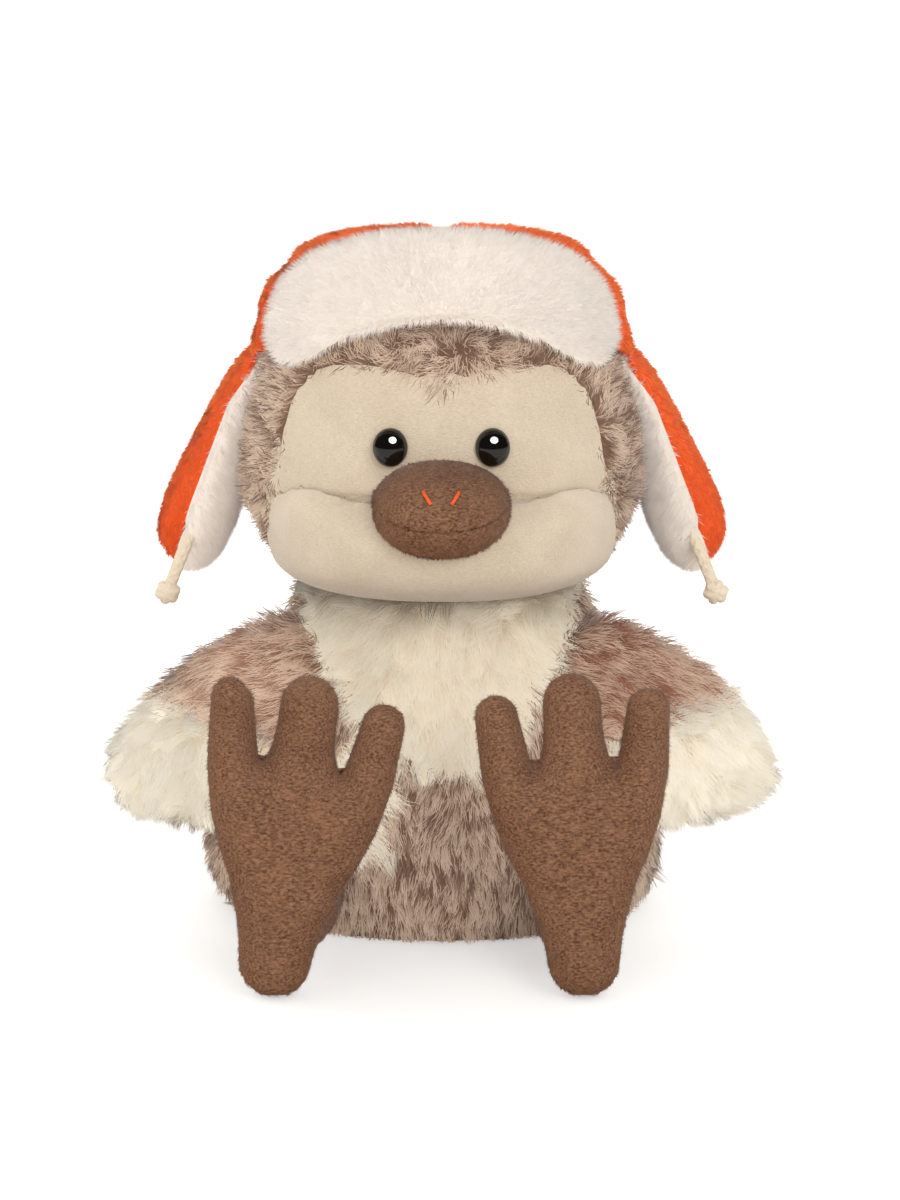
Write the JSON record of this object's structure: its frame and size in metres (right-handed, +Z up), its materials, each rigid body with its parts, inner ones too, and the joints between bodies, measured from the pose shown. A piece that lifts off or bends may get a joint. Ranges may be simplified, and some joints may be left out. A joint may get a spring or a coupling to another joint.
{
  "type": "plush sparrow",
  "caption": "Soft plush sparrow that sits with its soles forward, with swinging wings and legs, a turning head, and a lift-off fur-trimmed hat with hinged ear flaps and knotted tie cords.",
  "frame": {"origin": "middle of the flat seat, on the surface that the toy sits on", "axes": "+Z up through the head, -Y the way the face looks, +X to the toy's own left"},
  "size_m": [0.2052, 0.2119, 0.223],
  "materials": {
    "fur_brown": "long-pile fur, tipped brown",
    "fur_ivory": "long-pile fur, ivory",
    "fur_white": "long-pile fur, creamy white",
    "face_cream": "short-nap plush, cream",
    "plush_brown": "short-pile plush, brown",
    "hat_orange": "short-pile plush, orange",
    "cord_cotton": "twisted cotton cord",
    "eye_black": "polished black",
    "thread_orange": "embroidery thread, satin",
    "fibre_fill": "polyester fibre",
    "bag_cloth": "plain woven bag",
    "washer_plastic": "moulded, matt"
  },
  "bodies": {
    "torso": {"body_skin": "fur_brown", "chest_bib": "fur_ivory", "seat_panel": "fur_brown", "pellet_bag": "bag_cloth", "body_filling": "fibre_fill"},
    "head": {"head_skin": "fur_brown", "face_panel": "face_cream", "head_filling": "fibre_fill", "cheek_roll": "face_cream", "eye_left": "eye_black", "eye_right": "eye_black", "eye_washer_left": "washer_plastic", "eye_washer_right": "washer_plastic", "beak_upper": "plush_brown", "beak_lower": "plush_brown", "nostril_stitch_left": "thread_orange", "nostril_stitch_right": "thread_orange"},
    "hat": {"hat_crown": "hat_orange", "hat_brim": "fur_white"},
    "flap_left": {"ear_flap_outer_left": "hat_orange", "ear_flap_lining_left": "fur_white", "cord_left": "cord_cotton", "cord_knot_left": "cord_cotton"},
    "flap_right": {"ear_flap_outer_right": "hat_orange", "ear_flap_lining_right": "fur_white", "cord_right": "cord_cotton", "cord_knot_right": "cord_cotton"},
    "wing_left": {"wing_covert_left": "fur_brown", "wing_band_left": "fur_ivory"},
    "wing_right": {"wing_covert_right": "fur_brown", "wing_band_right": "fur_ivory"},
    "limb_left": {"leg_left": "plush_brown", "foot_left": "plush_brown"},
    "limb_right": {"leg_right": "plush_brown", "foot_right": "plush_brown"},
    "tail_pad": {"tail": "fur_brown"}
  },
  "joints": [
    {"name": "head_turn", "type": "hinge", "parent": "torso", "child": "head", "pos_m": [0, 0, 0.105], "axis": [0, 0, 1], "range_deg": [-25, 25], "stiffness_Nm_per_rad": 0.15},
    {"name": "hat_lift", "type": "slide", "parent": "head", "child": "hat", "axis": [0, 0, 1], "range_m": [0, 0.12]},
    {"name": "flap_swing_left", "type": "hinge", "parent": "hat", "child": "flap_left", "pos_m": [0.0585, -0.001, 0.187], "axis": [0, -1, 0], "range_deg": [0, 70]},
    {"name": "flap_swing_right", "type": "hinge", "parent": "hat", "child": "flap_right", "pos_m": [-0.0585, -0.001, 0.187], "axis": [0, 1, 0], "range_deg": [0, 70]},
    {"name": "wing_lift_left", "type": "hinge", "parent": "torso", "child": "wing_left", "pos_m": [0.027, -0.02, 0.096], "axis": [0, -1, 0], "range_deg": [0, 26]},
    {"name": "wing_lift_right", "type": "hinge", "parent": "torso", "child": "wing_right", "pos_m": [-0.027, -0.02, 0.096], "axis": [0, 1, 0], "range_deg": [0, 26]},
    {"name": "leg_lift_left", "type": "hinge", "parent": "torso", "child": "limb_left", "pos_m": [0.04025, -0.05827, 0.019], "axis": [-1, 0, 0], "range_deg": [0, 24]},
    {"name": "leg_lift_right", "type": "hinge", "parent": "torso", "child": "limb_right", "pos_m": [-0.04025, -0.05827, 0.019], "axis": [-1, 0, 0], "range_deg": [0, 24]},
    {"name": "tail_tip", "type": "hinge", "parent": "torso", "child": "tail_pad", "pos_m": [0, 0.0588, 0.0288], "axis": [1, 0, 0], "range_deg": [-15, 10], "stiffness_Nm_per_rad": 0.02}
  ]
}
